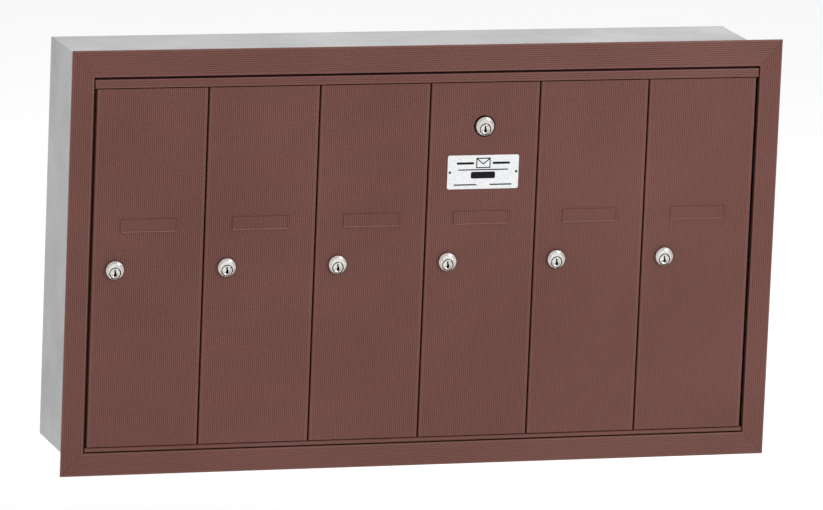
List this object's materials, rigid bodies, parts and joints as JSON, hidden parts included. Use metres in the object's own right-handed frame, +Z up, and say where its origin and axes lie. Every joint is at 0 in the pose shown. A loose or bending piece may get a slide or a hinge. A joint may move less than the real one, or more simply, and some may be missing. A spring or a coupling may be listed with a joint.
{
  "type": "cluster mailbox unit",
  "caption": "Recessed vertical mailbox unit: bronze reeded doors side by side in a mitred trim frame, a cam lock on each, on a swing-down master panel over a grey aluminium box.",
  "frame": {"origin": "centre of the back face of the box", "axes": "+Y out of the back face into the wall, so the doors face -Y; +X to the viewer's right when facing the doors; +Z up"},
  "size_m": [0.902, 0.175, 0.524],
  "materials": {
    "bronze_paint": "bronze powder coat over fine reeding",
    "mill_aluminium": "mill",
    "rivet_aluminium": "bright",
    "nickel": "nickel plated",
    "zinc_steel": "zinc plated",
    "clear_plastic": "clear",
    "label_white": "satin white"
  },
  "bodies": {
    "box": {"body_wrap": "mill_aluminium", "body_bottom_panel": "mill_aluminium", "body_back_panel": "mill_aluminium", "divider_1": "mill_aluminium", "divider_2": "mill_aluminium", "divider_3": "mill_aluminium", "divider_4": "mill_aluminium", "divider_5": "mill_aluminium", "body_rivets": "rivet_aluminium", "trim_top": "bronze_paint", "trim_bottom": "bronze_paint", "trim_left": "bronze_paint", "trim_right": "bronze_paint", "master_strike": "zinc_steel"},
    "master_panel": {"master_top_rail": "bronze_paint", "master_bottom_rail": "bronze_paint", "master_mullion_1": "bronze_paint", "master_mullion_2": "bronze_paint", "master_mullion_3": "bronze_paint", "master_mullion_4": "bronze_paint", "master_mullion_5": "bronze_paint", "master_left_stile": "bronze_paint", "master_right_stile": "bronze_paint", "master_hinge_pins": "zinc_steel", "master_lock_bracket": "zinc_steel", "master_lock_housing": "nickel"},
    "master_lock": {"master_lock_plug": "nickel", "master_lock_cam": "zinc_steel"},
    "door_1": {"door_1_panel": "bronze_paint", "lock_1_housing": "nickel", "card_holder_1": "clear_plastic"},
    "tenant_lock_1": {"lock_1_plug": "nickel", "lock_1_cam": "zinc_steel"},
    "door_2": {"door_2_panel": "bronze_paint", "lock_2_housing": "nickel", "card_holder_2": "clear_plastic"},
    "tenant_lock_2": {"lock_2_plug": "nickel", "lock_2_cam": "zinc_steel"},
    "door_3": {"door_3_panel": "bronze_paint", "lock_3_housing": "nickel", "card_holder_3": "clear_plastic"},
    "tenant_lock_3": {"lock_3_plug": "nickel", "lock_3_cam": "zinc_steel"},
    "door_4": {"door_4_panel": "bronze_paint", "lock_4_housing": "nickel", "card_holder_4": "clear_plastic", "label_plate": "label_white", "label_rivets": "rivet_aluminium"},
    "tenant_lock_4": {"lock_4_plug": "nickel", "lock_4_cam": "zinc_steel"},
    "door_5": {"door_5_panel": "bronze_paint", "lock_5_housing": "nickel", "card_holder_5": "clear_plastic"},
    "tenant_lock_5": {"lock_5_plug": "nickel", "lock_5_cam": "zinc_steel"},
    "door_6": {"door_6_panel": "bronze_paint", "lock_6_housing": "nickel", "card_holder_6": "clear_plastic"},
    "tenant_lock_6": {"lock_6_plug": "nickel", "lock_6_cam": "zinc_steel"}
  },
  "joints": [
    {"name": "master_panel_hinge", "type": "hinge", "parent": "box", "child": "master_panel", "pos_m": [0, -0.16835, -0.23], "axis": [1, 0, 0], "range_deg": [0, 90]},
    {"name": "master_lock_turn", "type": "hinge", "parent": "master_panel", "child": "master_lock", "pos_m": [0.07, -0.16, 0.1576], "axis": [0, 1, 0], "range_deg": [0, 90]},
    {"name": "door_1_hinge", "type": "hinge", "parent": "master_panel", "child": "door_1", "pos_m": [-0.2865, -0.165, 0], "axis": [0, 0, 1], "range_deg": [0, 100]},
    {"name": "lock_1_turn", "type": "hinge", "parent": "door_1", "child": "tenant_lock_1", "pos_m": [-0.3913, -0.16, -0.0103], "axis": [0, 1, 0], "range_deg": [0, 90]},
    {"name": "door_2_hinge", "type": "hinge", "parent": "master_panel", "child": "door_2", "pos_m": [-0.1465, -0.165, 0], "axis": [0, 0, 1], "range_deg": [0, 100]},
    {"name": "lock_2_turn", "type": "hinge", "parent": "door_2", "child": "tenant_lock_2", "pos_m": [-0.2513, -0.16, -0.0103], "axis": [0, 1, 0], "range_deg": [0, 90]},
    {"name": "door_3_hinge", "type": "hinge", "parent": "master_panel", "child": "door_3", "pos_m": [-0.0065, -0.165, 0], "axis": [0, 0, 1], "range_deg": [0, 100]},
    {"name": "lock_3_turn", "type": "hinge", "parent": "door_3", "child": "tenant_lock_3", "pos_m": [-0.1113, -0.16, -0.0103], "axis": [0, 1, 0], "range_deg": [0, 90]},
    {"name": "door_4_hinge", "type": "hinge", "parent": "master_panel", "child": "door_4", "pos_m": [0.1335, -0.165, 0], "axis": [0, 0, 1], "range_deg": [0, 100]},
    {"name": "lock_4_turn", "type": "hinge", "parent": "door_4", "child": "tenant_lock_4", "pos_m": [0.0287, -0.16, -0.0103], "axis": [0, 1, 0], "range_deg": [0, 90]},
    {"name": "door_5_hinge", "type": "hinge", "parent": "master_panel", "child": "door_5", "pos_m": [0.2735, -0.165, 0], "axis": [0, 0, 1], "range_deg": [0, 100]},
    {"name": "lock_5_turn", "type": "hinge", "parent": "door_5", "child": "tenant_lock_5", "pos_m": [0.1687, -0.16, -0.0103], "axis": [0, 1, 0], "range_deg": [0, 90]},
    {"name": "door_6_hinge", "type": "hinge", "parent": "master_panel", "child": "door_6", "pos_m": [0.4135, -0.165, 0], "axis": [0, 0, 1], "range_deg": [0, 100]},
    {"name": "lock_6_turn", "type": "hinge", "parent": "door_6", "child": "tenant_lock_6", "pos_m": [0.3087, -0.16, -0.0103], "axis": [0, 1, 0], "range_deg": [0, 90]}
  ]
}
